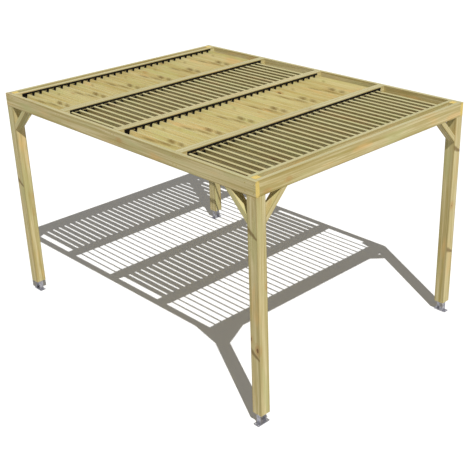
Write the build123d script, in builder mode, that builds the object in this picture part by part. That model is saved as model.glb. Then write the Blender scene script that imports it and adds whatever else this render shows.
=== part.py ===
# A free-standing wooden pergola with a roof of louvre boards, in millimetres, +Z up.
# The origin is on the ground under the middle of the roof: X runs along the short front
# beam, Y runs from the front to the back.
import os
from math import cos, radians, sin

from build123d import *

os.makedirs("parts", exist_ok=True)

# Overall size of the timber frame
frame_width = 3000
frame_depth = 3940
foot_height = 120
post_length = 2185

# Timber sections
post_size = 115
beam_height = 145
beam_thickness = 45
rail_thickness = 45
rail_height = 145
rail_setback = 105
brace_thickness = 55
brace_width = 90
brace_reach = 265
arris_chamfer = 3

# Louvre boards, which lean to one side of upright or to the other
bay_count = 4
board_pitch = 92.3
board_width = 90
board_thickness = 20
board_lean = 17.5
board_end_clearance = 2
board_top_gap = 1
seat_gap = 0.3

# Slotted combs that hold the ends of the boards
comb_plate_thickness = 3
comb_projection = 18
comb_drop = 9
comb_bar_height = 16
comb_bar_projection = 9
comb_window_height = 17
comb_web_width = 28
comb_base_height = 9
comb_end_margin = 60
notch_play = 2

# Steel feet
foot_length = 150
foot_width = 70
foot_plate_thickness = 6
foot_corner_cut = 6
foot_leg_spacing = 70
foot_leg_width = 45
foot_leg_thickness = 6
foot_bend_radius = 5
foot_saddle_overhang = 8
foot_hole_radius = 6
foot_hole_edge = 17

# Levels and places that follow from the sizes above
beam_underside = foot_height + post_length
beam_top = beam_underside + beam_height
beam_middle = beam_top - beam_height / 2
post_x = (frame_width - post_size) / 2
post_y = (frame_depth - post_size) / 2
core_width = post_size - beam_thickness
core_depth = rail_setback - beam_thickness
core_x = frame_width / 2 - beam_thickness - core_width / 2
core_y = frame_depth / 2 - beam_thickness - core_depth / 2
clear_width = frame_width - 2 * beam_thickness
bay_depth = (frame_depth - 2 * rail_setback) / bay_count
first_bay_start = -frame_depth / 2 + rail_setback
boards_per_bay = int((clear_width - 2 * comb_end_margin) / board_pitch)
corners = {
    "front_left": (-1, -1),
    "front_right": (1, -1),
    "back_right": (1, 1),
    "back_left": (-1, 1),
}

# Each foot is a flat plate with four bolt holes that carries a bent steel saddle.
# The long side of the plate turns by a quarter from each corner to the next.
saddle_height = foot_height - foot_plate_thickness
saddle_span = foot_leg_spacing + 2 * foot_leg_thickness
foot_turns = {"front_left": 0, "front_right": 90, "back_right": 0, "back_left": 90}
for corner, (side_x, side_y) in corners.items():
    foot_base = Plane(
        origin=(side_x * post_x, side_y * post_y, 0),
        x_dir=(cos(radians(foot_turns[corner])), sin(radians(foot_turns[corner])), 0),
        z_dir=(0, 0, 1),
    )
    saddle_side = Plane(
        origin=foot_base.origin,
        x_dir=foot_base.x_dir,
        z_dir=foot_base.x_dir.cross(Vector(0, 0, 1)),
    )
    with BuildPart() as foot:
        with BuildSketch(foot_base):
            plate = Rectangle(foot_length, foot_width)
            chamfer(plate.vertices(), foot_corner_cut)
            with GridLocations(
                foot_length - 2 * foot_hole_edge, foot_width - 2 * foot_hole_edge, 2, 2
            ):
                Circle(foot_hole_radius, mode=Mode.SUBTRACT)
        extrude(amount=foot_plate_thickness)
        with BuildSketch(saddle_side):
            with Locations((0, foot_plate_thickness)):
                Rectangle(saddle_span, saddle_height, align=(Align.CENTER, Align.MIN))
            with Locations((0, foot_height)):
                Rectangle(
                    saddle_span + 2 * foot_saddle_overhang,
                    foot_leg_thickness,
                    align=(Align.CENTER, Align.MAX),
                )
            with Locations((0, foot_height - foot_leg_thickness)):
                RectangleRounded(
                    foot_leg_spacing,
                    saddle_height - foot_leg_thickness + foot_bend_radius,
                    foot_bend_radius,
                    align=(Align.CENTER, Align.MAX),
                    mode=Mode.SUBTRACT,
                )
        extrude(amount=foot_leg_width / 2, both=True)
    foot.part.label = f"{corner}_foot"
    export_step(foot.part, f"parts/{corner}_foot.step")

# Square posts stand on the feet. At the beams' height only an inner core goes on up, and its
# end grain shows on the roof between the beams and the first rail.
for corner, (side_x, side_y) in corners.items():
    with BuildPart() as post:
        with BuildSketch(Plane.XY.offset(foot_height)):
            with Locations((side_x * post_x, side_y * post_y)):
                Rectangle(post_size, post_size)
        extrude(amount=post_length)
        chamfer(post.edges().filter_by(Axis.Z), arris_chamfer)
        with Locations((side_x * core_x, side_y * core_y, beam_middle)):
            Box(core_width, core_depth, beam_height)
    post.part.label = f"{corner}_post"
    export_step(post.part, f"parts/{corner}_post.step")

# The two side beams run the whole depth over the posts, so their ends show at the front.
for name, side_x in (("left", -1), ("right", 1)):
    with BuildPart() as side_beam:
        with Locations((side_x * (frame_width - beam_thickness) / 2, 0, beam_middle)):
            Box(beam_thickness, frame_depth, beam_height)
        chamfer(side_beam.edges().filter_by(Axis.Y), arris_chamfer)
    side_beam.part.label = f"{name}_side_beam"
    export_step(side_beam.part, f"parts/{name}_side_beam.step")

# The front and back beams fit between the side beams, sit on the posts and close on the cores.
for name, side_y in (("front", -1), ("back", 1)):
    with BuildPart() as end_beam:
        with Locations((0, side_y * (frame_depth - beam_thickness) / 2, beam_middle)):
            Box(clear_width, beam_thickness, beam_height)
        chamfer(end_beam.edges().filter_by(Axis.X), arris_chamfer)
    end_beam.part.label = f"{name}_beam"
    export_step(end_beam.part, f"parts/{name}_beam.step")

# Eight knee braces, two at each post, flush with the outer faces of the post and the beam and
# mitred against the post and the underside of the beam.
brace_cut = brace_thickness * 2**0.5
brace_middle_x = (frame_width - brace_width) / 2
brace_middle_y = (frame_depth - brace_width) / 2
for corner, (side_x, side_y) in corners.items():
    braces = {
        "beam": Plane(
            origin=(side_x * (frame_width / 2 - post_size), side_y * brace_middle_y, beam_underside),
            x_dir=(-side_x, 0, 0),
            z_dir=(0, side_x, 0),
        ),
        "side": Plane(
            origin=(side_x * brace_middle_x, side_y * (frame_depth / 2 - post_size), beam_underside),
            x_dir=(0, -side_y, 0),
            z_dir=(-side_y, 0, 0),
        ),
    }
    for run, brace_plane in braces.items():
        with BuildPart() as brace:
            with BuildSketch(brace_plane):
                with BuildLine():
                    Polyline(
                        (brace_reach - brace_cut, 0),
                        (brace_reach, 0),
                        (0, -brace_reach),
                        (0, brace_cut - brace_reach),
                        close=True,
                    )
                make_face()
            extrude(amount=brace_width / 2, both=True)
            slope = brace_plane.x_dir + Vector(0, 0, 1)
            chamfer(brace.edges().filter_by(Axis(brace_plane.origin, slope)), arris_chamfer)
        brace.part.label = f"{corner}_{run}_brace"
        export_step(brace.part, f"parts/{corner}_{run}_brace.step")

# Geometry of one comb notch: a board stands on its lower corner in the notch and leans
# against the slope of the tooth on one side or on the other. Its upper corner stays just
# below the comb's bar.
lean = radians(board_lean)
notch_width = board_thickness * cos(lean) + notch_play
tooth_base = board_pitch - notch_width
comb_top = beam_top - comb_drop
window_top = comb_top - comb_bar_height
board_top = window_top - board_top_gap
board_rise = board_width * cos(lean) + board_thickness * sin(lean)
notch_floor = board_top - board_rise - seat_gap
comb_bottom = notch_floor - comb_base_height
tooth_top = window_top - comb_window_height
tooth_height = tooth_top - notch_floor
comb_length = boards_per_bay * board_pitch
board_length = bay_depth - 2 * (rail_thickness + comb_plate_thickness + board_end_clearance)
seat_offset = notch_width / 2 - seat_gap / cos(lean)
board_shift = board_width / 2 * sin(lean) - board_thickness / 2 * cos(lean) + seat_offset
board_middle = board_top - board_rise / 2

# One comb, lying on the plane of a rail's inner face: a thin plate with a window above each
# whole tooth, a bar along its top, and slanted teeth that stand on a solid base strip. Half a
# tooth closes it at each end, short of the side beams.
comb_face = Plane(origin=(0, 0, 0), x_dir=(-1, 0, 0), z_dir=(0, 1, 0))
with BuildPart() as comb_model:
    with BuildSketch(comb_face):
        with Locations((0, comb_bottom)):
            Rectangle(comb_length, comb_top - comb_bottom, align=(Align.CENTER, Align.MIN))
        with Locations((0, window_top)):
            with GridLocations(board_pitch, 0, boards_per_bay - 1, 1):
                Rectangle(
                    board_pitch - comb_web_width,
                    comb_window_height,
                    align=(Align.CENTER, Align.MAX),
                    mode=Mode.SUBTRACT,
                )
    extrude(amount=comb_plate_thickness)
    with BuildSketch(comb_face):
        with Locations((0, window_top)):
            Rectangle(comb_length, comb_bar_height, align=(Align.CENTER, Align.MIN))
    extrude(amount=comb_bar_projection)
    with BuildSketch(comb_face):
        with Locations((0, comb_bottom)):
            Rectangle(comb_length, comb_base_height, align=(Align.CENTER, Align.MIN))
        with Locations((0, notch_floor)):
            with GridLocations(board_pitch, 0, boards_per_bay + 1, 1):
                Trapezoid(
                    tooth_base, tooth_height, 90 - board_lean, align=(Align.CENTER, Align.MIN)
                )
        with Locations((0, comb_bottom)):
            Rectangle(
                comb_length,
                comb_base_height + tooth_height,
                align=(Align.CENTER, Align.MIN),
                mode=Mode.INTERSECT,
            )
    extrude(amount=comb_projection)

# One set of boards that all lean to the left in their notches.
with BuildPart() as board_model:
    with BuildSketch(Plane.XZ):
        with Locations((-board_shift, board_middle)):
            with GridLocations(board_pitch, 0, boards_per_bay, 1):
                Rectangle(board_thickness, board_width, rotation=board_lean)
    extrude(amount=board_length / 2, both=True)

# Each bay is a cassette: two rails, a comb on the inner face of each, and the set of boards.
# The boards lean left in the first and third bays, which lets the light through, and right
# in the others, which closes them.
for bay in range(bay_count):
    bay_front = first_bay_start + bay * bay_depth
    bay_back = bay_front + bay_depth
    for name, wall, inward, turn in (("front", bay_front, 1, 0), ("back", bay_back, -1, 180)):
        with BuildPart() as rail:
            with Locations((0, wall + inward * rail_thickness / 2, beam_top - rail_height / 2)):
                Box(clear_width, rail_thickness, rail_height)
            chamfer(rail.edges().filter_by(Axis.X), arris_chamfer)
        rail.part.label = f"bay_{bay + 1}_{name}_rail"
        export_step(rail.part, f"parts/bay_{bay + 1}_{name}_rail.step")

        with BuildPart() as comb:
            with Locations(Location((0, wall + inward * rail_thickness, 0), (0, 0, turn))):
                add(comb_model.part)
        comb.part.label = f"bay_{bay + 1}_{name}_comb"
        export_step(comb.part, f"parts/bay_{bay + 1}_{name}_comb.step")

    lean_turn = 0 if bay % 2 == 0 else 180
    with BuildPart() as boards:
        with Locations(Location((0, (bay_front + bay_back) / 2, 0), (0, 0, lean_turn))):
            add(board_model.part)
    boards.part.label = f"bay_{bay + 1}_louvre_boards"
    export_step(boards.part, f"parts/bay_{bay + 1}_louvre_boards.step")
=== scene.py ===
from math import cos, pi, radians, sin, sqrt

import bpy
from mathutils import Matrix, Vector


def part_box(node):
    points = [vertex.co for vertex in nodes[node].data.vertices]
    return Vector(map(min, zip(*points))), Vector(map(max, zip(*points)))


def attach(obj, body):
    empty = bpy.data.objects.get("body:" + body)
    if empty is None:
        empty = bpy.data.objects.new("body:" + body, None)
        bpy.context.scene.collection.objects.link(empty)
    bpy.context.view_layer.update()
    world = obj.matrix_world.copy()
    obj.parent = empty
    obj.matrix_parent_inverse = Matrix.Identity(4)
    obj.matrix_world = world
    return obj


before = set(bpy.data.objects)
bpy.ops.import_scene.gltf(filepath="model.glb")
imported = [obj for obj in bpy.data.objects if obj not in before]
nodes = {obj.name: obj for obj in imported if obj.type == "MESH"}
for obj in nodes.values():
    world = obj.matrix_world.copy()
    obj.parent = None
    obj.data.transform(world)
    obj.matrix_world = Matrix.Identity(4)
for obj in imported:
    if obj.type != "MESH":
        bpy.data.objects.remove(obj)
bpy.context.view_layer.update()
print("frame loaded:", len(nodes), "nodes")


# What sets the picture: the camera stands to the front left, above the roof.
cameraSettings = {
    "place": (-6.149, -6.806, 5.127),
    "turn": (65.72, 1.1, -44.95),
    "lens": 67.9,
    "sensor": 36.0,
    "shift": (-0.063, -0.030),
    "clipEnd": 200.0,
}

lightSettings = {
    "sunTurn": (35.5, 0.0, -28.0),
    "sunStrength": 4.0,
    "sunAngle": 0.35,
    "skyStrength": 0.27,
    "skyColour": (1.0, 0.97, 0.92),
    "backdrop": (1.0, 1.0, 1.0),
}

floorSettings = {
    "sides": 64,
    "radius": 40.0,
    "colour": (0.44, 0.44, 0.44),
    "seenColour": (0.88, 0.88, 0.88),
    "drop": 0.0005,
}


# Node helpers
def addNode(tree, kind, **settings):
    node = tree.nodes.new(kind)
    for name, value in settings.items():
        setattr(node, name, value)
    return node


def feed(tree, socket, value):
    # a link where value is a socket, otherwise the socket's own value
    if isinstance(value, bpy.types.NodeSocket):
        tree.links.new(value, socket)
    else:
        socket.default_value = value


def mathNode(tree, operation, first, second=None, third=None):
    node = addNode(tree, "ShaderNodeMath", operation=operation)
    for socket, value in zip(node.inputs, (first, second, third)):
        if value is not None:
            feed(tree, socket, value)
    return node.outputs[0]


def vectorNode(tree, operation, first, second=None):
    node = addNode(tree, "ShaderNodeVectorMath", operation=operation)
    feed(tree, node.inputs[0], first)
    if second is not None:
        feed(tree, node.inputs["Scale"] if operation == "SCALE" else node.inputs[1], second)
    return node.outputs["Value"] if operation in ("LENGTH", "DOT_PRODUCT") else node.outputs[0]


def splitVector(tree, vector):
    node = addNode(tree, "ShaderNodeSeparateXYZ")
    feed(tree, node.inputs[0], vector)
    return node.outputs


def turnVector(tree, vector, turn):
    node = addNode(tree, "ShaderNodeVectorRotate", rotation_type="EULER_XYZ")
    node.inputs["Rotation"].default_value = turn
    feed(tree, node.inputs["Vector"], vector)
    return node.outputs[0]


def splitColour(tree, colour):
    node = addNode(tree, "ShaderNodeSeparateColor")
    feed(tree, node.inputs[0], colour)
    return node.outputs


def stepNode(tree, value, low, high):
    # 0 below low, 1 above high, smooth between; turned round where low is the larger
    node = addNode(tree, "ShaderNodeMapRange", interpolation_type="SMOOTHSTEP")
    feed(tree, node.inputs["Value"], value)
    feed(tree, node.inputs["From Min"], min(low, high))
    feed(tree, node.inputs["From Max"], max(low, high))
    feed(tree, node.inputs["To Min"], 0.0 if low < high else 1.0)
    feed(tree, node.inputs["To Max"], 1.0 if low < high else 0.0)
    return node.outputs["Result"]


def mixColour(tree, share, first, second, blend="MIX"):
    # a mix node has its colours at inputs 6 and 7 and at output 2
    node = addNode(tree, "ShaderNodeMix", data_type="RGBA", blend_type=blend)
    feed(tree, node.inputs["Factor"], share)
    feed(tree, node.inputs[6], first)
    feed(tree, node.inputs[7], second)
    return node.outputs[2]


def noiseNode(tree, vector, scale=1.0, detail=2.0, roughness=0.5):
    node = addNode(tree, "ShaderNodeTexNoise")
    feed(tree, node.inputs["Vector"], vector)
    node.inputs["Scale"].default_value = scale
    node.inputs["Detail"].default_value = detail
    node.inputs["Roughness"].default_value = roughness
    return node.outputs["Fac"]


def centred(tree, value, size):
    # a value from 0 to 1 as one from half of size below 0 to half of size above
    return mathNode(tree, "MULTIPLY_ADD", value, size, -size / 2)


def cellNode(tree, vector, scale=1.0):
    node = addNode(tree, "ShaderNodeTexVoronoi")
    feed(tree, node.inputs["Vector"], vector)
    node.inputs["Scale"].default_value = scale
    return node.outputs


def bumpNode(tree, height, strength, distance):
    node = addNode(tree, "ShaderNodeBump")
    node.inputs["Strength"].default_value = strength
    node.inputs["Distance"].default_value = distance
    feed(tree, node.inputs["Height"], height)
    return node.outputs["Normal"]


def newMaterial(name):
    material = bpy.data.materials.new(name)
    material.use_nodes = True
    material.node_tree.nodes.clear()
    return material, material.node_tree


def coverWith(tree, values):
    # ends a material with a Principled shader that takes values
    shader = addNode(tree, "ShaderNodeBsdfPrincipled")
    for label, value in values.items():
        feed(tree, shader.inputs[label], value)
    output = addNode(tree, "ShaderNodeOutputMaterial")
    tree.links.new(shader.outputs[0], output.inputs["Surface"])


def newGroup(name, inputs, outputs):
    group = bpy.data.node_groups.new(name, "ShaderNodeTree")
    for label, kind in inputs.items():
        group.interface.new_socket(label, in_out="INPUT", socket_type=kind)
    for label, kind in outputs.items():
        group.interface.new_socket(label, in_out="OUTPUT", socket_type=kind)
    entry = addNode(group, "NodeGroupInput")
    leave = addNode(group, "NodeGroupOutput")
    return group, entry.outputs, leave.inputs


def useGroup(tree, group, values):
    node = addNode(tree, "ShaderNodeGroup", node_tree=group)
    for label, value in values.items():
        feed(tree, node.inputs[label], value)
    return node.outputs


def srgb(red, green, blue):
    # a colour as it is seen on a screen, 0 to 255, as the linear colour that nodes use
    def linear(value):
        share = value / 255
        return share / 12.92 if share <= 0.04045 else ((share + 0.055) / 1.055) ** 2.4
    return (linear(red), linear(green), linear(blue), 1.0)


# Growth rings, streaks, knots and fibres of a sawn timber, from a place in metres with the
# grain along Z and the heart of the tree at the origin. Scales are per metre.
figureSettings = {
    "knotCells": (8.0, 8.0, 2.1),
    "knotStretch": (1.0, 1.0, 0.55),
    "knotRippleScale": 45.0,
    "knotRipple": 0.008,
    "knotSpread": 0.9,
    "knotLeast": 0.35,
    "knotEdge": (1.1, 0.75),
    "haloEdge": (3.4, 0.9),
    "bendScale": (9.0, 9.0, 0.9),
    "bend": 0.05,
    "bendRoundKnot": 0.009,
    "ringPower": 2.2,
    "fineScale": (75.0, 75.0, 1.6),
    "fineShare": 0.5,
    "broadScale": (22.0, 22.0, 0.7),
    "broadShare": 0.5,
    "patchScale": (7.0, 7.0, 1.6),
    "fibreScale": (700.0, 700.0, 18.0),
}


def makeTimberFigure(values):
    group, given, out = newGroup(
        "timberFigure",
        {
            "Place": "NodeSocketVector",
            "Ring Width": "NodeSocketFloat",
            "Knot Radius": "NodeSocketFloat",
            "Knot Share": "NodeSocketFloat",
        },
        {
            "Rings": "NodeSocketFloat",
            "Streaks": "NodeSocketFloat",
            "Patches": "NodeSocketFloat",
            "Knot": "NodeSocketFloat",
            "Halo": "NodeSocketFloat",
            "Fibre": "NodeSocketFloat",
        },
    )
    place = given["Place"]

    def stretched(scale):
        return vectorNode(group, "MULTIPLY", place, scale)

    # knots: one in some of the cells, each a little longer along the grain
    metresPerCell = tuple(1 / value for value in values["knotCells"])
    cell = stretched(values["knotCells"])
    knots = cellNode(group, cell)
    away = vectorNode(group, "SUBTRACT", cell, knots["Position"])
    away = vectorNode(group, "MULTIPLY", away, metresPerCell)
    away = vectorNode(group, "MULTIPLY", away, values["knotStretch"])
    ripple = noiseNode(group, place, values["knotRippleScale"])
    ripple = centred(group, ripple, values["knotRipple"])
    reach = mathNode(group, "ADD", vectorNode(group, "LENGTH", away), ripple)
    chance = splitColour(group, knots["Color"])
    radius = mathNode(group, "MULTIPLY_ADD", chance[1], values["knotSpread"], values["knotLeast"])
    radius = mathNode(group, "MULTIPLY", radius, given["Knot Radius"])
    present = mathNode(group, "LESS_THAN", chance[0], given["Knot Share"])
    relative = mathNode(group, "DIVIDE", reach, radius)
    knot = mathNode(group, "MULTIPLY", stepNode(group, relative, *values["knotEdge"]), present)
    halo = mathNode(group, "MULTIPLY", stepNode(group, relative, *values["haloEdge"]), present)

    # rings: the distance from the heart, bent by slow noise and round the knots
    bend = noiseNode(group, stretched(values["bendScale"]))
    heart = vectorNode(group, "LENGTH", stretched((1.0, 1.0, 0.0)))
    heart = mathNode(group, "MULTIPLY_ADD", bend, values["bend"], heart)
    heart = mathNode(group, "MULTIPLY_ADD", halo, values["bendRoundKnot"], heart)
    turns = mathNode(group, "DIVIDE", heart, given["Ring Width"])
    wave = mathNode(group, "SINE", mathNode(group, "MULTIPLY", turns, 2 * pi))
    wave = mathNode(group, "MULTIPLY_ADD", wave, 0.5, 0.5)
    rings = mathNode(group, "POWER", wave, values["ringPower"])

    fine = noiseNode(group, stretched(values["fineScale"]), detail=4.0, roughness=0.6)
    broad = noiseNode(group, stretched(values["broadScale"]))
    streaks = mathNode(group, "MULTIPLY", broad, values["broadShare"])
    streaks = mathNode(group, "MULTIPLY_ADD", fine, values["fineShare"], streaks)
    patches = noiseNode(group, stretched(values["patchScale"]), detail=3.0, roughness=0.6)
    fibre = noiseNode(group, stretched(values["fibreScale"]))

    feed(group, out["Rings"], rings)
    feed(group, out["Streaks"], streaks)
    feed(group, out["Patches"], patches)
    feed(group, out["Knot"], knot)
    feed(group, out["Halo"], halo)
    feed(group, out["Fibre"], fibre)
    return group


# Two masks from the direction of the surface: 1 on the eased edges, and 1 on the sawn ends.
# Each is a step over the largest part of the normal, or over its part along the grain.
faceSettings = {
    "edge": (0.985, 0.85),
    "end": (0.8, 0.95),
}


def makeTimberFaces(values):
    group, given, out = newGroup(
        "timberFaces",
        {"Normal": "NodeSocketVector"},
        {"Edge": "NodeSocketFloat", "End": "NodeSocketFloat"},
    )
    parts = splitVector(group, vectorNode(group, "ABSOLUTE", given["Normal"]))
    largest = mathNode(group, "MAXIMUM", parts[0], parts[1])
    largest = mathNode(group, "MAXIMUM", largest, parts[2])
    feed(group, out["Edge"], stepNode(group, largest, *values["edge"]))
    feed(group, out["End"], stepNode(group, parts[2], *values["end"]))
    return group


timberFigure = makeTimberFigure(figureSettings)
timberFaces = makeTimberFaces(faceSettings)


# Pressure-treated pine: pale greenish yellow with tan streaks, orange patches and brown knots
framePine = {
    "pale": srgb(214, 201, 155),
    "deep": srgb(166, 149, 88),
    "green": srgb(182, 181, 125),
    "warm": srgb(216, 176, 112),
    "knot": srgb(104, 68, 32),
    "mark": srgb(112, 88, 44),
    "halo": srgb(176, 132, 72),
    # edge is painted shade on the eased arrises and the strip beside them
    "edge": srgb(132, 116, 62),
    "end": srgb(216, 191, 98),
    "endRing": srgb(188, 154, 78),
    # the next two make the faces that face up greyer and darker: painted shade where the sun falls
    # most
    "topGrey": srgb(180, 177, 140),
    "topShade": 0.88,
    # tone scales the whole colour; above 1 it is painted light
    "tone": 1.0,
    "ringWidth": 0.0055,
    "knotRadius": 0.015,
    "knotShare": 0.42,
    "roughness": 0.62,
    "bump": 0.0006,
}

louvrePine = dict(
    framePine,
    pale=srgb(214, 205, 152),
    deep=srgb(187, 167, 104),
    green=srgb(196, 195, 129),
    warm=srgb(222, 184, 124),
    knotRadius=0.012,
    knotShare=0.6,
)
# Brightness of each bay's boards: the closed bays 2 and 4 get a lighter copy of the pine, painted
# light for the sun on their faces
bayPaintedLight = (1.0, 1.12, 1.0, 1.06)


# The outer strip of each face is darker: painted shade along the arrises
rimShadeSettings = {
    "width": 0.024,
    "strength": 0.42,
    "onTop": 0.25,
}

# How far each part of the figure colours the pine, and over which stretch of it
pineMix = {
    "streaks": (0.35, 0.66),
    "greenPatches": (0.5, 0.3),
    "green": 0.7,
    "warmPatches": (0.55, 0.72),
    "warm": 0.6,
    "rings": 0.3,
    "fibre": 0.5,
    "fibreRange": 0.3,
    "halo": 0.55,
    "knot": 0.9,
    "end": 0.75,
    "edge": 0.7,
    "upward": (0.8, 0.95),
    # share of the greyer colour on the faces that face up, painted shade
    "topGrey": 0.55,
    "gloss": 0.3,
    "roughnessRange": 0.2,
    "bumpStrength": 0.5,
    "ringDepth": 0.35,
    "knotDepth": 0.5,
}


def finishPine(tree, place, normal, upward, values, marks=0.0, rim=0.0):
    # place and normal have the grain along Z, upward is the part of the normal that points up
    figure = useGroup(tree, timberFigure, {
        "Place": place,
        "Ring Width": values["ringWidth"],
        "Knot Radius": values["knotRadius"],
        "Knot Share": values["knotShare"],
    })
    faces = useGroup(tree, timberFaces, {"Normal": normal})

    def share(value, most):
        return mathNode(tree, "MULTIPLY", value, most)

    # streaks, patches, rings and fibres
    streaks = stepNode(tree, figure["Streaks"], *pineMix["streaks"])
    colour = mixColour(tree, streaks, values["pale"], values["deep"])
    greenPatches = stepNode(tree, figure["Patches"], *pineMix["greenPatches"])
    colour = mixColour(tree, share(greenPatches, pineMix["green"]), colour, values["green"])
    warmPatches = stepNode(tree, figure["Patches"], *pineMix["warmPatches"])
    colour = mixColour(tree, share(warmPatches, pineMix["warm"]), colour, values["warm"])
    colour = mixColour(tree, share(figure["Rings"], pineMix["rings"]), colour, values["deep"])
    least = 1.0 - pineMix["fibreRange"] / 2
    fibre = mathNode(tree, "MULTIPLY_ADD", figure["Fibre"], pineMix["fibreRange"], least)
    colour = mixColour(tree, pineMix["fibre"], colour, fibre, "MULTIPLY")

    # knots and marks, then the sawn ends
    colour = mixColour(tree, share(figure["Halo"], pineMix["halo"]), colour, values["halo"])
    colour = mixColour(tree, share(figure["Knot"], pineMix["knot"]), colour, values["knot"])
    colour = mixColour(tree, marks, colour, values["mark"])
    endColour = mixColour(tree, figure["Rings"], values["end"], values["endRing"])
    colour = mixColour(tree, share(faces["End"], pineMix["end"]), colour, endColour)

    # edges, darkened as painted shade, and the faces that face up, greyer and darkened as painted
    # shade
    lying = mathNode(tree, "SUBTRACT", stepNode(tree, upward, *pineMix["upward"]), faces["End"])
    rimShadeShare = mathNode(tree, "MULTIPLY_ADD", lying, rimShadeSettings["onTop"] - 1.0, 1.0)
    rimShadeShare = share(share(rim, rimShadeShare), rimShadeSettings["strength"])
    # the eased edges and the strip along each arris are darkened: painted shade
    edgeShadeShare = mathNode(tree, "MAXIMUM", share(faces["Edge"], pineMix["edge"]), rimShadeShare)
    colour = mixColour(tree, edgeShadeShare, colour, values["edge"])
    # the faces that face up are mixed toward a greyer colour and darkened below: painted shade
    # where the sun falls most
    colour = mixColour(tree, share(lying, pineMix["topGrey"]), colour, values["topGrey"])
    shade = mathNode(tree, "MULTIPLY_ADD", lying, values["topShade"] - 1.0, 1.0)
    # tone scales the whole colour: painted light for the closed bays
    colour = mixColour(tree, 1.0, colour, share(shade, values["tone"]), "MULTIPLY")

    roughness = mathNode(tree, "SUBTRACT", figure["Streaks"], 0.5)
    roughness = mathNode(tree, "MULTIPLY", roughness, pineMix["roughnessRange"])
    roughness = mathNode(tree, "ADD", roughness, values["roughness"])
    height = mathNode(tree, "MULTIPLY_ADD", figure["Rings"], -pineMix["ringDepth"], figure["Fibre"])
    height = mathNode(tree, "MULTIPLY_ADD", figure["Knot"], -pineMix["knotDepth"], height)
    coverWith(tree, {
        "Base Color": colour,
        "Roughness": roughness,
        "Specular IOR Level": pineMix["gloss"],
        "Normal": bumpNode(tree, height, pineMix["bumpStrength"], values["bump"]),
    })


# Branches that were sawn along show as slanted dark bars across one face of a post. Each row
# has the face's axis and side, the bar's height, and its slope along the face.
slantedKnots = {
    "halfWidth": 0.026,
    "taper": 0.22,
    "fade": (1.3, 0.3),
    "facing": (0.5, 0.9),
    "rippleScale": 30.0,
    "ripple": 0.02,
    "strength": 0.80,
    "posts": {
        "front_left_post": ((0, -1.0, 1.96, 0.65), (0, -1.0, 0.76, 0.65)),
        "front_right_post": ((1, -1.0, 1.95, -0.55), (1, -1.0, 0.77, -0.55)),
        "back_left_post": ((0, -1.0, 1.40, 0.60),),
        "back_right_post": ((1, 1.0, 0.95, 0.60),),
    },
}


def markPost(tree, name, place, normal, middle):
    # 1 inside the slanted knots of a post
    placeParts = splitVector(tree, place)
    normalParts = splitVector(tree, normal)
    ripple = noiseNode(tree, place, slantedKnots["rippleScale"], detail=3.0)
    ripple = centred(tree, ripple, slantedKnots["ripple"])
    total = 0.0
    for axis, side, height, slope in slantedKnots["posts"].get(name, ()):
        across = placeParts[1 - axis]
        line = mathNode(tree, "SUBTRACT", placeParts[2], height - middle.z)
        line = mathNode(tree, "MULTIPLY_ADD", across, -slope, line)
        line = mathNode(tree, "ABSOLUTE", mathNode(tree, "ADD", line, ripple))
        taper = slantedKnots["taper"] * (1.0 if slope > 0 else -1.0)
        width = mathNode(tree, "MULTIPLY_ADD", across, taper, slantedKnots["halfWidth"])
        inside = stepNode(tree, mathNode(tree, "DIVIDE", line, width), *slantedKnots["fade"])
        facing = mathNode(tree, "MULTIPLY", normalParts[axis], side)
        facing = stepNode(tree, facing, *slantedKnots["facing"])
        total = mathNode(tree, "MAXIMUM", total, mathNode(tree, "MULTIPLY", inside, facing))
    return mathNode(tree, "MULTIPLY", total, slantedKnots["strength"])


def rimShadeOf(tree, place, halves):
    # 1 on the arrises of a straight timber, where shade is painted, 0 beyond the strip; halves is
    # half its box
    longAxis = halves.index(max(halves))
    parts = splitVector(tree, place)
    inward = []
    for axis in range(3):
        if axis != longAxis:
            size = mathNode(tree, "ABSOLUTE", parts[axis])
            inward.append(mathNode(tree, "SUBTRACT", halves[axis], size))
    distance = mathNode(tree, "MAXIMUM", inward[0], inward[1])
    return stepNode(tree, distance, rimShadeSettings["width"], 0.0)


def makeMemberPine(name, turn, heart, values):
    # one timber: turn lays its length along Z, and heart is where its tree's middle was
    low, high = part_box(name)
    middle = (low + high) / 2
    material, tree = newMaterial(f"pine_{name}")
    source = addNode(tree, "ShaderNodeTexCoord").outputs
    place = vectorNode(tree, "SUBTRACT", source["Object"], middle)
    rim = 0.0 if name.endswith("_brace") else rimShadeOf(tree, place, list((high - low) / 2))
    marks = markPost(tree, name, place, source["Normal"], middle)
    upward = splitVector(tree, source["Normal"])[2]
    normal = turnVector(tree, source["Normal"], turn)
    place = vectorNode(tree, "ADD", turnVector(tree, place, turn), heart)
    finishPine(tree, place, normal, upward, values, marks, rim)
    return material


# One wood for all the boards of a bay: each board takes its own piece of timber from the
# number of its place along the comb.
boardSettings = {
    "pitch": 0.0923,
    "eachSide": 15,
    "spread": (0.35, 0.35, 9.0),
    "numbersPerBay": 40.0,
    "turn": (pi / 2, 0.0, 0.0),
}

# The knots that recur on the boards. One board in every five has a given mark. Each row has
# that board's place in the five, how far the mark is from the middle of the bay and half its
# length, how far it is from the notch and half its width, and its strength.
boardMarks = {
    "repeat": 5.0,
    "within": 0.25,
    "scatter": 0.05,
    "rippleScale": 60.0,
    "ripple": 0.9,
    "fade": (1.25, 0.0),
    "rows": (
        (1.0, -0.098, 0.076, 0.012, 0.0085, 0.80),
        (1.0, -0.240, 0.066, 0.012, 0.0080, 0.65),
        (0.0, 0.098, 0.150, 0.010, 0.0045, 0.60),
        (0.0, -0.128, 0.160, 0.014, 0.0040, 0.60),
        (3.0, 0.230, 0.040, 0.012, 0.0060, 0.35),
    ),
}


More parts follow.
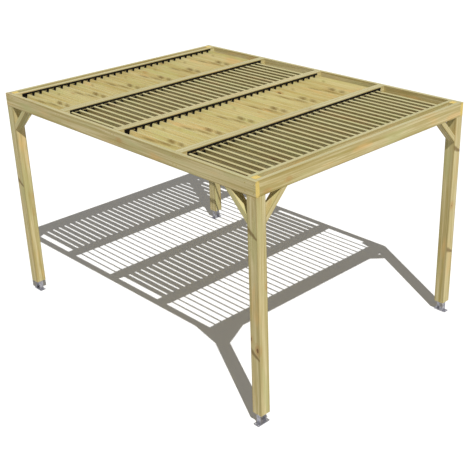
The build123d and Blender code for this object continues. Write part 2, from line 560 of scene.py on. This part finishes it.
def markBoards(tree, place, along, number, chance, bay):
    # 1 inside the marks of a bay's boards, which mirror where the boards lean the other way
    low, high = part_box(f"bay_{bay}_louvre_boards")
    lean = 1.0 if bay % 2 == 0 else -1.0
    scatter = boardMarks["scatter"]
    ripple = noiseNode(tree, place, boardMarks["rippleScale"])
    ripple = centred(tree, ripple, boardMarks["ripple"])
    length = mathNode(tree, "MULTIPLY_ADD", chance, scatter, splitVector(tree, place)[1])
    length = mathNode(tree, "SUBTRACT", length, (low.y + high.y) / 2 + scatter / 2)
    notch = mathNode(tree, "ADD", number, 0.5)
    notch = mathNode(tree, "MULTIPLY", notch, boardSettings["pitch"])
    across = mathNode(tree, "MULTIPLY", mathNode(tree, "SUBTRACT", along, notch), lean)
    turn = mathNode(tree, "FLOORED_MODULO", number, boardMarks["repeat"])
    total = 0.0
    for board, middle, halfLength, offset, halfWidth, strength in boardMarks["rows"]:
        first = mathNode(tree, "DIVIDE", mathNode(tree, "SUBTRACT", length, middle), halfLength)
        second = mathNode(tree, "DIVIDE", mathNode(tree, "SUBTRACT", across, offset), halfWidth)
        away = addNode(tree, "ShaderNodeCombineXYZ")
        feed(tree, away.inputs[0], first)
        feed(tree, away.inputs[1], second)
        away = mathNode(tree, "ADD", vectorNode(tree, "LENGTH", away.outputs[0]), ripple)
        inside = stepNode(tree, away, *boardMarks["fade"])
        chosen = mathNode(tree, "COMPARE", turn, board, boardMarks["within"])
        inside = mathNode(tree, "MULTIPLY", inside, chosen)
        total = mathNode(tree, "MAXIMUM", total, mathNode(tree, "MULTIPLY", inside, strength))
    return total


def makeBoardPine(name, bay, values):
    material, tree = newMaterial(name)
    source = addNode(tree, "ShaderNodeTexCoord").outputs
    pitch = boardSettings["pitch"]
    along = splitVector(tree, source["Object"])[0]
    along = mathNode(tree, "SUBTRACT", along, -pitch * boardSettings["eachSide"])
    number = mathNode(tree, "FLOOR", mathNode(tree, "DIVIDE", along, pitch))
    chance = addNode(tree, "ShaderNodeTexWhiteNoise", noise_dimensions="1D")
    bayNumbers = boardSettings["numbersPerBay"] * bay
    feed(tree, chance.inputs["W"], mathNode(tree, "ADD", number, bayNumbers))
    own = vectorNode(tree, "MULTIPLY", chance.outputs["Color"], boardSettings["spread"])
    place = turnVector(tree, source["Object"], boardSettings["turn"])
    place = vectorNode(tree, "ADD", place, own)
    normal = turnVector(tree, source["Normal"], boardSettings["turn"])
    upward = splitVector(tree, source["Normal"])[2]
    marks = markBoards(tree, source["Object"], along, number, chance.outputs["Value"], bay)
    finishPine(tree, place, normal, upward, values, marks)
    return material


# Matt black plastic of the combs and their caps, with dust where it lies
combPlastic = {
    "colour": srgb(14, 10, 6),
    "dust": srgb(44, 37, 26),
    "dustScale": 14.0,
    "dustPatches": (0.42, 0.75),
    "dustShare": 0.4,
    "upward": (0.3, 0.9),
    "roughness": 0.7,
    "roughnessRange": 0.2,
    "gloss": 0.12,
    "grainScale": 900.0,
    "bumpStrength": 0.3,
    "bump": 0.0003,
}


def makeCombPlastic(values):
    material, tree = newMaterial("combPlastic")
    source = addNode(tree, "ShaderNodeTexCoord").outputs
    dust = noiseNode(tree, source["Object"], values["dustScale"], detail=4.0)
    lying = stepNode(tree, splitVector(tree, source["Normal"])[2], *values["upward"])
    share = stepNode(tree, dust, *values["dustPatches"])
    share = mathNode(tree, "MULTIPLY", share, values["dustShare"])
    share = mathNode(tree, "MULTIPLY", share, lying)
    roughness = mathNode(tree, "MULTIPLY", dust, values["roughnessRange"])
    roughness = mathNode(tree, "ADD", roughness, values["roughness"])
    grain = noiseNode(tree, source["Object"], values["grainScale"])
    coverWith(tree, {
        "Base Color": mixColour(tree, share, values["colour"], values["dust"]),
        "Roughness": roughness,
        "Specular IOR Level": values["gloss"],
        "Normal": bumpNode(tree, grain, values["bumpStrength"], values["bump"]),
    })
    return material


# Hot-dip galvanised steel of the feet and their coach screws, with its spangle
footSteel = {
    "light": srgb(180, 180, 186),
    "dark": srgb(126, 125, 132),
    "spangle": 95.0,
    "crystals": 0.55,
    "cloudScale": 22.0,
    "clouds": 0.45,
    "roughness": 0.42,
    "roughnessRange": 0.2,
    "metal": 0.85,
    "bumpStrength": 0.25,
    "bump": 0.0003,
}

# Yellow zinc on the screws that hold the timbers together
screwSteel = dict(footSteel, light=srgb(190, 172, 108), dark=srgb(150, 132, 76), spangle=400.0)


def makeSteel(name, values):
    material, tree = newMaterial(name)
    source = addNode(tree, "ShaderNodeTexCoord").outputs
    crystals = cellNode(tree, source["Object"], values["spangle"])
    tone = splitColour(tree, crystals["Color"])[0]
    cloud = noiseNode(tree, source["Object"], values["cloudScale"], detail=3.0)
    share = mathNode(tree, "MULTIPLY", cloud, values["clouds"])
    share = mathNode(tree, "MULTIPLY_ADD", tone, values["crystals"], share)
    smoothest = values["roughness"] - values["roughnessRange"] / 2
    coverWith(tree, {
        "Base Color": mixColour(tree, share, values["light"], values["dark"]),
        "Metallic": values["metal"],
        "Roughness": mathNode(tree, "MULTIPLY_ADD", share, values["roughnessRange"], smoothest),
        "Normal": bumpNode(tree, cloud, values["bumpStrength"], values["bump"]),
    })
    return material


def memberTurn(name):
    # the turn that lays a timber's length along Z
    if name.endswith("_post"):
        return (0.0, 0.0, 0.0)
    if name.endswith("_side_beam"):
        return (pi / 2, 0.0, 0.0)
    if name.endswith("_beam_brace"):
        return (0.0, -pi / 4 if "left" in name else pi / 4, 0.0)
    if name.endswith("_side_brace"):
        return (pi / 4 if name.startswith("front") else -pi / 4, 0.0, 0.0)
    return (0.0, -pi / 2, 0.0)


def setMaterial(obj, material):
    obj.data.materials.clear()
    obj.data.materials.append(material)


# Where the middle of its tree lay from each timber, and how far on along the grain it starts
heartSettings = {
    "near": 0.05,
    "far": 0.13,
    "turnPerTimber": 2.4,
    "shiftPerTimber": 3.7,
}


def dressTimbers():
    kinds = ("_post", "_beam", "_rail", "_brace")
    timbers = sorted(name for name in nodes if name.endswith(kinds))
    for number, name in enumerate(timbers):
        angle = number * heartSettings["turnPerTimber"]
        reach = heartSettings["near"] if number % 2 else heartSettings["far"]
        shift = number * heartSettings["shiftPerTimber"]
        heart = (reach * cos(angle), reach * sin(angle), shift)
        setMaterial(nodes[name], makeMemberPine(name, memberTurn(name), heart, framePine))
    return len(timbers)


print("timbers dressed:", dressTimbers())

plastic = makeCombPlastic(combPlastic)
steel = makeSteel("galvanisedSteel", footSteel)
yellowZinc = makeSteel("yellowZinc", screwSteel)
# the closed bays take brighter copies of the board pine as painted light
for bay, tone in enumerate(bayPaintedLight, 1):
    wood = makeBoardPine(f"pine_bay_{bay}", bay, dict(louvrePine, tone=tone))
    setMaterial(nodes[f"bay_{bay}_louvre_boards"], wood)
for name, obj in nodes.items():
    if name.endswith("_comb"):
        setMaterial(obj, plastic)
    elif name.endswith("_foot"):
        setMaterial(obj, steel)
print("boards, combs and feet dressed")


# Fasteners: each kind is modelled once, standing on the origin with its head up, and copied
# with a mesh of its own to all its places.
screwSettings = {
    "sides": 20,
    "radius": 0.0056,
    "height": 0.0012,
    "rim": 0.0004,
    "socketRadius": 0.0026,
    "socketDepth": 0.0009,
}

beamScrewSettings = {
    "drops": (0.036, 0.109),
}

braceScrewSettings = {
    "fromEnd": 0.05,
    "spread": 0.021,
}

capSettings = {
    "sides": 16,
    "radius": 0.0038,
    "height": 0.0012,
    "rim": 0.0004,
    "socketRadius": 0.0018,
    "socketDepth": 0.0004,
    "everyPitches": 6,
    "eachSide": 2,
    "belowTop": 0.008,
    "barShare": 0.5,
}

coachSettings = {
    "washerSides": 24,
    "washerRadius": 0.0108,
    "washerHeight": 0.0018,
    "hexRadius": 0.0088,
    "hexHeight": 0.0062,
    "hexInset": 0.3,
    "rim": 0.0006,
    "offset": 0.016,
    "plateUnderside": 0.114,
}

easeSettings = {
    "segments": 2,
    "fromAngle": 30.0,
    "smoothBelow": 35.0,
}


def addCylinder(sides, radius, height, base=0.0):
    # stands on the height of base, at the origin, and is the only selected object
    bpy.ops.object.select_all(action="DESELECT")
    bpy.ops.mesh.primitive_cylinder_add(
        vertices=sides,
        radius=radius,
        depth=height,
        location=(0.0, 0.0, base + height / 2),
    )
    bpy.ops.object.transform_apply(location=True, rotation=False, scale=False)
    return bpy.context.object


def pickFaces(obj, test):
    # leaves obj in edit mode with only the faces selected that pass test
    bpy.ops.object.mode_set(mode="EDIT")
    bpy.ops.mesh.select_mode(type="FACE")
    bpy.ops.mesh.select_all(action="DESELECT")
    bpy.ops.object.mode_set(mode="OBJECT")
    for face in obj.data.polygons:
        face.select = test(face)
    bpy.ops.object.mode_set(mode="EDIT")


def facesUp(face):
    return face.normal.z > 0.9


def easeEdges(obj, width):
    bevel = obj.modifiers.new("eased", "BEVEL")
    bevel.width = width
    bevel.segments = easeSettings["segments"]
    bevel.limit_method = "ANGLE"
    bevel.angle_limit = radians(easeSettings["fromAngle"])
    bpy.ops.object.modifier_apply(modifier=bevel.name)
    bpy.ops.object.shade_smooth_by_angle(angle=radians(easeSettings["smoothBelow"]))


def modelHead(values):
    # a low round head with a socket in its top
    head = addCylinder(values["sides"], values["radius"], values["height"])
    pickFaces(head, facesUp)
    bpy.ops.mesh.inset(thickness=values["radius"] - values["socketRadius"], depth=0.0)
    bpy.ops.mesh.extrude_region_move(
        TRANSFORM_OT_translate={"value": (0.0, 0.0, -values["socketDepth"])}
    )
    bpy.ops.object.mode_set(mode="OBJECT")
    easeEdges(head, values["rim"])
    return head


def modelCoachScrew(values):
    # a washer with a hexagon head on it
    washer = addCylinder(values["washerSides"], values["washerRadius"], values["washerHeight"])
    easeEdges(washer, values["rim"] / 2)
    screw = addCylinder(6, values["hexRadius"], values["hexHeight"], values["washerHeight"])
    pickFaces(screw, facesUp)
    bpy.ops.mesh.inset(thickness=values["hexRadius"] * values["hexInset"], depth=-values["rim"])
    bpy.ops.object.mode_set(mode="OBJECT")
    easeEdges(screw, values["rim"])
    washer.select_set(True)
    bpy.ops.object.join()
    return bpy.context.object


def copyToPlaces(model, places, name, material):
    # one piece of all the copies, each with its head the way that facing points
    up = Vector((0.0, 0.0, 1.0))
    bpy.ops.object.select_all(action="DESELECT")
    for place, facing in places:
        piece = bpy.data.objects.new(name, model.data.copy())
        bpy.context.scene.collection.objects.link(piece)
        turn = up.rotation_difference(Vector(facing)).to_matrix().to_4x4()
        piece.data.transform(Matrix.Translation(place) @ turn)
        piece.select_set(True)
        bpy.context.view_layer.objects.active = piece
    bpy.ops.object.join()
    joined = bpy.context.object
    joined.name = name
    setMaterial(joined, material)
    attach(joined, "root")
    print(name, len(places))


def middleOf(name):
    low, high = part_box(name)
    return (low + high) / 2


def beamPlaces(side):
    # two screws through the side beam into each rail end and each end beam
    low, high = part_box(f"{side}_side_beam")
    outer = low.x if side == "left" else high.x
    facing = (-1.0, 0.0, 0.0) if side == "left" else (1.0, 0.0, 0.0)
    ends = [name for name in nodes if name.endswith(("_rail", "front_beam", "back_beam"))]
    return [
        (Vector((outer, middleOf(name).y, high.z - drop)), facing)
        for name in ends
        for drop in beamScrewSettings["drops"]
    ]


def bracePlaces():
    # two screws near each end of the sloping underside of each brace
    places = []
    for name in nodes:
        if not name.endswith("_brace"):
            continue
        low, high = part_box(name)
        axis, across = (0, 1) if name.endswith("_beam_brace") else (1, 0)
        outward = 1.0 if low[axis] + high[axis] > 0 else -1.0
        postEnd = high[axis] if outward > 0 else low[axis]
        reach = high.z - low.z
        slope = reach * sqrt(2)
        facing = Vector((0.0, 0.0, -1.0))
        facing[axis] = -outward
        for along in (braceScrewSettings["fromEnd"], slope - braceScrewSettings["fromEnd"]):
            drop = along / sqrt(2)
            for side in (-1, 1):
                place = Vector((0.0, 0.0, high.z - drop))
                place[axis] = postEnd - outward * (reach - drop)
                place[across] = middleOf(name)[across] + side * braceScrewSettings["spread"]
                places.append((place, facing.normalized()))
    return places


def capPlaces():
    # caps on the bar of each comb, above every sixth tooth
    places = []
    step = capSettings["everyPitches"] * boardSettings["pitch"]
    numbers = range(-capSettings["eachSide"], capSettings["eachSide"] + 1)
    for name in nodes:
        if not name.endswith("_comb"):
            continue
        low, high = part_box(name)
        inward = 1.0 if name.endswith("front_comb") else -1.0
        wall = low.y if inward > 0 else high.y
        barFace = wall + inward * (high.y - low.y) * capSettings["barShare"]
        for number in numbers:
            place = Vector((number * step, barFace, high.z - capSettings["belowTop"]))
            places.append((place, (0.0, inward, 0.0)))
    return places


def coachPlaces():
    # two coach screws up through each saddle into the post
    places = []
    for name in nodes:
        if not name.endswith("_foot"):
            continue
        low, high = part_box(name)
        longAxis = 0 if high.x - low.x > high.y - low.y else 1
        for side in (-1, 1):
            place = middleOf(name)
            place.z = coachSettings["plateUnderside"]
            place[longAxis] += side * coachSettings["offset"]
            places.append((place, (0.0, 0.0, -1.0)))
    return places


timberScrew = modelHead(screwSettings)
for side in ("left", "right"):
    name = f"{side}_beam_screws"
    copyToPlaces(timberScrew, beamPlaces(side), name, yellowZinc)
copyToPlaces(timberScrew, bracePlaces(), "brace_screws", yellowZinc)
combCap = modelHead(capSettings)
copyToPlaces(combCap, capPlaces(), "comb_caps", plastic)
coachScrew = modelCoachScrew(coachSettings)
copyToPlaces(coachScrew, coachPlaces(), "foot_coach_screws", steel)
for model in (timberScrew, combCap, coachScrew):
    bpy.data.objects.remove(model)


# Camera, light and floor
def placeCamera():
    data = bpy.data.cameras.new("camera")
    data.lens = cameraSettings["lens"]
    data.sensor_width = cameraSettings["sensor"]
    data.shift_x, data.shift_y = cameraSettings["shift"]
    data.clip_end = cameraSettings["clipEnd"]
    camera = bpy.data.objects.new("camera", data)
    camera.location = cameraSettings["place"]
    camera.rotation_euler = [radians(value) for value in cameraSettings["turn"]]
    bpy.context.scene.collection.objects.link(camera)
    bpy.context.scene.camera = camera


def placeSun():
    data = bpy.data.lights.new("sun", "SUN")
    data.energy = lightSettings["sunStrength"]
    data.angle = radians(lightSettings["sunAngle"])
    sun = bpy.data.objects.new("sun", data)
    sun.rotation_euler = [radians(value) for value in lightSettings["sunTurn"]]
    bpy.context.scene.collection.objects.link(sun)


def mixSeen(tree, plain, seen, outputKind):
    # plain lights the scene, and seen shows to the camera, in a gloss and through glass
    path = addNode(tree, "ShaderNodeLightPath").outputs
    share = mathNode(tree, "MAXIMUM", path["Is Camera Ray"], path["Is Glossy Ray"])
    share = mathNode(tree, "MAXIMUM", share, path["Is Transmission Ray"])
    mix = addNode(tree, "ShaderNodeMixShader")
    feed(tree, mix.inputs[0], share)
    tree.links.new(plain.outputs[0], mix.inputs[1])
    tree.links.new(seen.outputs[0], mix.inputs[2])
    output = addNode(tree, outputKind)
    tree.links.new(mix.outputs[0], output.inputs["Surface"])


def makeSky():
    world = bpy.data.worlds.new("studio")
    world.use_nodes = True
    tree = world.node_tree
    tree.nodes.clear()
    light = addNode(tree, "ShaderNodeBackground")
    light.inputs["Color"].default_value = (*lightSettings["skyColour"], 1.0)
    light.inputs["Strength"].default_value = lightSettings["skyStrength"]
    backdrop = addNode(tree, "ShaderNodeBackground")
    backdrop.inputs["Color"].default_value = (*lightSettings["backdrop"], 1.0)
    mixSeen(tree, light, backdrop, "ShaderNodeOutputWorld")
    bpy.context.scene.world = world


def makeFloor():
    bpy.ops.object.select_all(action="DESELECT")
    bpy.ops.mesh.primitive_circle_add(
        vertices=floorSettings["sides"],
        radius=floorSettings["radius"],
        fill_type="NGON",
        location=(0.0, 0.0, -floorSettings["drop"]),
    )
    floor = bpy.context.object
    floor.name = "floor"
    material, tree = newMaterial("paleFloor")
    plain = addNode(tree, "ShaderNodeBsdfDiffuse")
    plain.inputs["Color"].default_value = (*floorSettings["colour"], 1.0)
    seen = addNode(tree, "ShaderNodeBsdfDiffuse")
    seen.inputs["Color"].default_value = (*floorSettings["seenColour"], 1.0)
    mixSeen(tree, plain, seen, "ShaderNodeOutputMaterial")
    setMaterial(floor, material)


placeCamera()
placeSun()
makeSky()
makeFloor()
bpy.context.scene.view_settings.view_transform = "Standard"
print("camera, light and floor placed")
